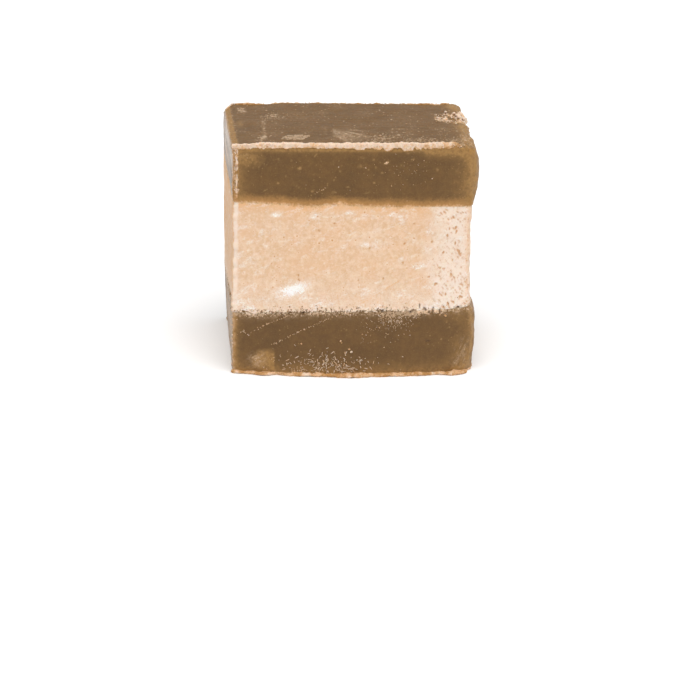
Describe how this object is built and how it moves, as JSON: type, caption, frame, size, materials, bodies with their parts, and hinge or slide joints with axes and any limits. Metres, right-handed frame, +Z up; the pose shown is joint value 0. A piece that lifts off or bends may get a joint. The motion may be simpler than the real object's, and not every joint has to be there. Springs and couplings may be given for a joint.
{
  "type": "layered fudge cube",
  "caption": "Hand-cut block of layered fudge, a pale crumbly layer between two smooth brown ones, with a torn lip along its top front edge.",
  "frame": {"origin": "middle of the base, centred on the block's outline in plan", "axes": "+Z up through the layers, +X to the right along the longer cut face, which looks to -Y"},
  "size_m": [0.0386, 0.0272, 0.0357],
  "materials": {
    "brown_fudge_bottom": "soft satin brown fudge, knife-cut, with fine sugar grain and pale crumbs",
    "pale_fudge": "matt pale fudge, finely mottled, pitted and crumbly on the right side",
    "brown_fudge_top": "soft satin brown fudge, knife-cut, with fine sugar grain and a torn pale lip"
  },
  "bodies": {
    "root": {"bottom_layer": "brown_fudge_bottom", "middle_layer": "pale_fudge", "top_layer": "brown_fudge_top"}
  },
  "joints": []
}
